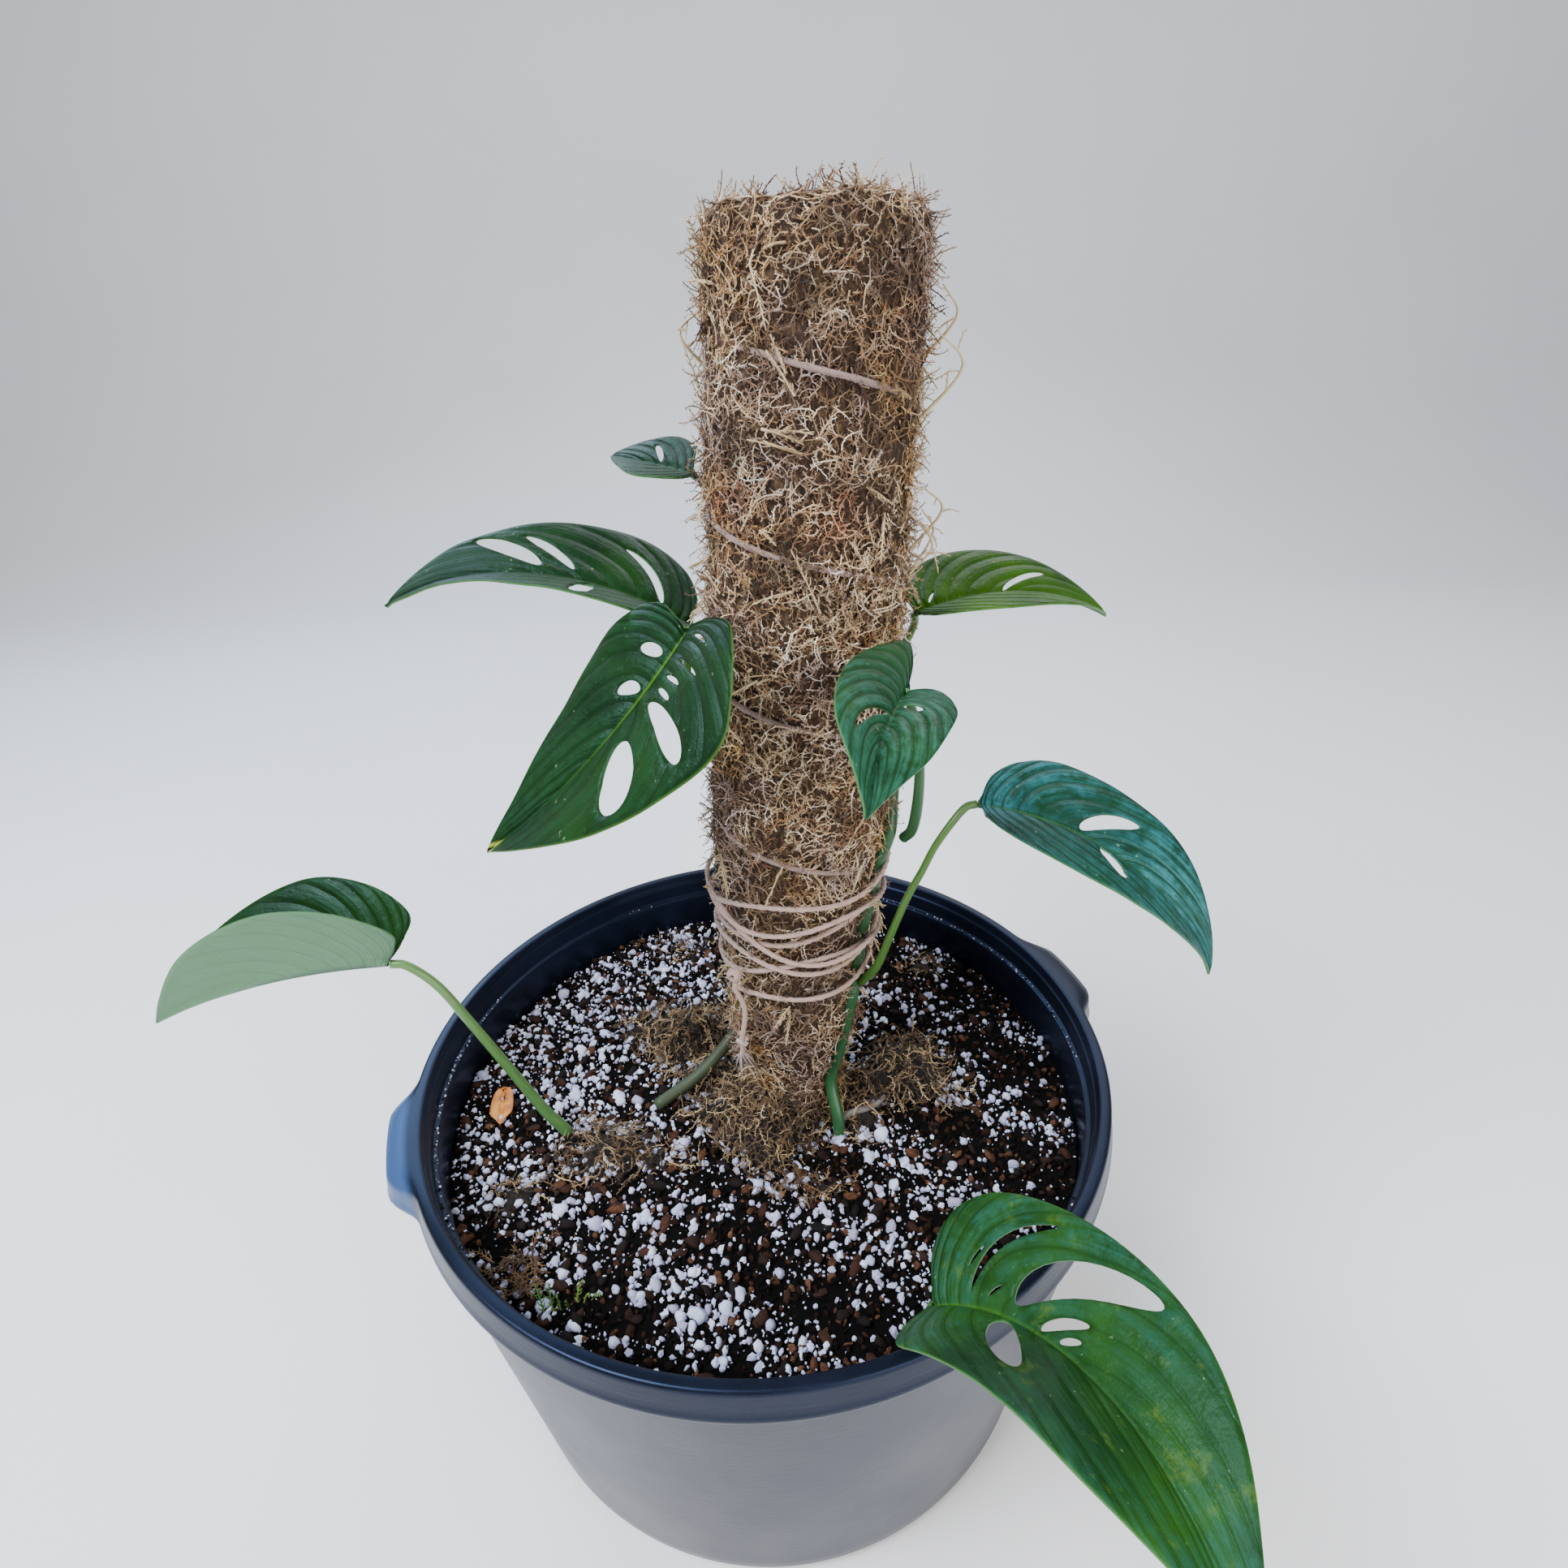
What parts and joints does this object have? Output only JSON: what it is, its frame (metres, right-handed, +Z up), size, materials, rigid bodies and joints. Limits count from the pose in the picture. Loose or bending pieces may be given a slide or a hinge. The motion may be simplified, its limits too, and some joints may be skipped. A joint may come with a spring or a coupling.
{
  "type": "potted monstera plant",
  "caption": "Holed-leaf climbing houseplant tied with twine to a moss-covered pole, standing in a wide low round pot of soil.",
  "frame": {"origin": "centre of the pot's flat base", "axes": "+Z up along the pot's axis, -Y towards the front of the plant, +X to the right seen from the front"},
  "size_m": [0.4778, 0.4399, 0.57],
  "materials": {
    "pot": "satin moulded plastic",
    "soil": "damp bark and peat mix with white perlite",
    "core": "coarse fibre",
    "moss": "dry curly moss",
    "twine": "rough natural fibre",
    "stem": "smooth green skin",
    "old_stem": "dull grey-brown skin",
    "leaf": "waxy",
    "dry_leaf": "dry and dull"
  },
  "bodies": {
    "root": {"binding_twine": "twine", "dry_leaf": "dry_leaf", "leaf_front_right": "leaf", "leaf_heart_right": "leaf", "leaf_large_left": "leaf", "leaf_left_edge": "leaf", "leaf_right": "leaf", "leaf_small_top_left": "leaf", "leaf_upper_left": "leaf", "leaf_upper_right": "leaf", "moss_tuft_back": "moss", "moss_tuft_back_left": "moss", "moss_tuft_back_right": "moss", "moss_tuft_far_left": "moss", "moss_tuft_front": "moss", "moss_tuft_left": "moss", "moss_tuft_right": "moss", "moss_wrap": "moss", "nursery_pot": "pot", "petiole_front_right": "stem", "petiole_heart_right": "stem", "petiole_large_left": "stem", "petiole_left_edge": "stem", "petiole_right": "stem", "petiole_small_top_left": "stem", "petiole_upper_left": "stem", "petiole_upper_right": "stem", "pole_core": "core", "potting_soil": "soil", "spiral_twine": "twine", "twine_knot": "twine", "twine_tail": "twine", "vine_left": "old_stem", "vine_right": "stem"}
  },
  "joints": []
}
